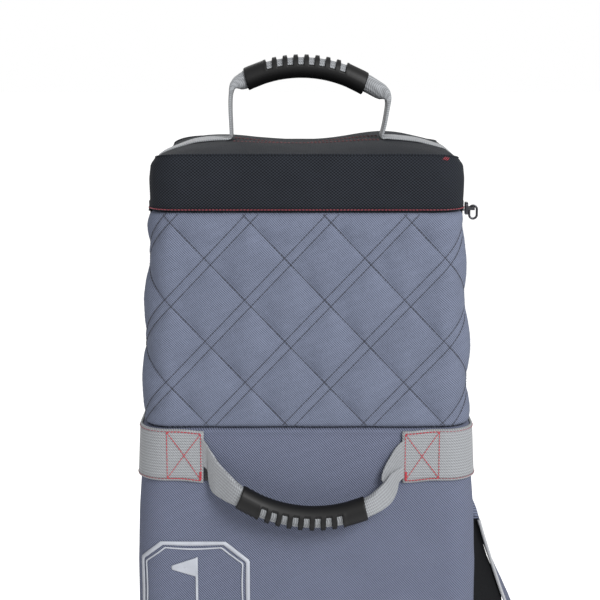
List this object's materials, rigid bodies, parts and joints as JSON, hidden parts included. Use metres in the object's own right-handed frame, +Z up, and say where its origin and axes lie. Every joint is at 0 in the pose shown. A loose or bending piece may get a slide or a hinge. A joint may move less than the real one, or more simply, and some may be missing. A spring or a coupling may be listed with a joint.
{
  "type": "golf travel bag",
  "caption": "Padded upright golf travel bag with zipped cap, quilted collar, carry handles, side pocket and rear wheels; stands on its base and tilts back to roll.",
  "frame": {"origin": "middle of the wear plate's underside, on the floor plane that the bag stands on", "axes": "+Z up the bag, -Y to the front that carries the carry handle, +X to the side with the pocket"},
  "size_m": [0.4158, 0.3333, 1.3143],
  "materials": {
    "quilt_fabric": "quilted twill",
    "body_fabric": "twill",
    "cap_fabric": "plain weave",
    "webbing": "ribbed weave",
    "dark_webbing": "ribbed weave",
    "lining_fabric": "smooth weave",
    "padding": "closed-cell foam",
    "board": "hollow sheet",
    "moulding": "fine grain",
    "grip_rubber": "satin",
    "zip_black": "satin",
    "zip_metal": "gunmetal",
    "piping": "smooth",
    "print": "matte",
    "tyre_rubber": "matte",
    "hub_plastic": "satin",
    "steel": "brushed"
  },
  "bodies": {
    "bag": {"base_tray": "moulding", "wear_plate": "moulding", "base_screws": "steel", "base_board": "board", "base_pad": "padding", "body_shell": "body_fabric", "body_foam": "padding", "back_stiffener": "board", "main_lining": "lining_fabric", "housing_hump_left": "lining_fabric", "housing_hump_right": "lining_fabric", "quilted_cover": "quilt_fabric", "quilt_foam": "padding", "quilt_lining": "lining_fabric", "handle_belt": "webbing", "handle_backing_patches": "dark_webbing", "badge_print": "print", "tray_rivets": "steel", "rail_rivets": "steel", "housing_screws": "steel", "axle_clips": "steel", "wheel_spacers": "moulding", "zip_tape_lower": "zip_black", "zip_teeth_lower": "zip_black", "wheel_housing_left": "moulding", "wheel_housing_right": "moulding", "axle_left": "steel", "axle_right": "steel", "skid_rail_left": "moulding", "skid_rail_right": "moulding", "pocket_gusset": "cap_fabric", "pocket_top_flap": "body_fabric", "pocket_teeth_gusset": "zip_black"},
    "lid": {"cap_shell": "cap_fabric", "cap_foam": "padding", "zip_tape_upper": "zip_black", "zip_teeth_upper": "zip_black", "cross_webbing_left": "webbing", "cross_webbing_right": "webbing"},
    "top_handle": {"top_handle_strap": "webbing", "top_handle_grip": "grip_rubber"},
    "front_handle": {"front_handle_strap": "webbing", "front_handle_grip": "grip_rubber"},
    "lid_slider": {"zip_slider": "zip_metal"},
    "lid_ring": {"zip_ring": "zip_metal"},
    "pocket_door": {"pocket_face": "body_fabric", "pocket_piping": "piping", "pocket_teeth_face": "zip_black"},
    "pocket_slider": {"pocket_slider": "zip_metal"},
    "pocket_ring": {"pocket_ring": "zip_metal"},
    "wheel_left": {"wheel_tyre_left": "tyre_rubber", "wheel_hub_left": "hub_plastic", "wheel_bearings_left": "steel"},
    "wheel_right": {"wheel_tyre_right": "tyre_rubber", "wheel_hub_right": "hub_plastic", "wheel_bearings_right": "steel"}
  },
  "joints": [
    {"name": "lid_hinge", "type": "hinge", "parent": "bag", "child": "lid", "pos_m": [0, -0.14, 1.168], "axis": [1, 0, 0], "range_deg": [0, 110]},
    {"name": "top_handle_swing", "type": "hinge", "parent": "lid", "child": "top_handle", "pos_m": [0, 0, 1.254], "axis": [1, 0, 0], "range_deg": [-80, 80]},
    {"name": "front_handle_swing", "type": "hinge", "parent": "bag", "child": "front_handle", "pos_m": [0, -0.1446, 0.9445], "axis": [-1, 0, 0], "range_deg": [0, 140]},
    {"name": "lid_zip_slide", "type": "slide", "parent": "bag", "child": "lid_slider", "axis": [0, 1, 0], "range_m": [0, 0.2]},
    {"name": "lid_ring_swing", "type": "hinge", "parent": "lid_slider", "child": "lid_ring", "pos_m": [0.1635, -0.107, 1.168], "axis": [0, -1, 0], "range_deg": [-3, 75]},
    {"name": "pocket_door_hinge", "type": "hinge", "parent": "bag", "child": "pocket_door", "pos_m": [0.2322, 0.085, 0.64], "axis": [0, 0, 1], "range_deg": [0, 100]},
    {"name": "pocket_zip_slide", "type": "slide", "parent": "bag", "child": "pocket_slider", "axis": [0, 0, 1], "range_m": [0, 0.155]},
    {"name": "pocket_ring_swing", "type": "hinge", "parent": "pocket_slider", "child": "pocket_ring", "pos_m": [0.22685, -0.0965, 0.5], "axis": [-1, 0, 0], "range_deg": [-3, 75]},
    {"name": "wheel_left_spin", "type": "hinge", "parent": "bag", "child": "wheel_left", "pos_m": [-0.109, 0.122, 0.0365], "axis": [1, 0, 0], "continuous": true},
    {"name": "wheel_right_spin", "type": "hinge", "parent": "bag", "child": "wheel_right", "pos_m": [0.109, 0.122, 0.0365], "axis": [1, 0, 0], "continuous": true}
  ]
}
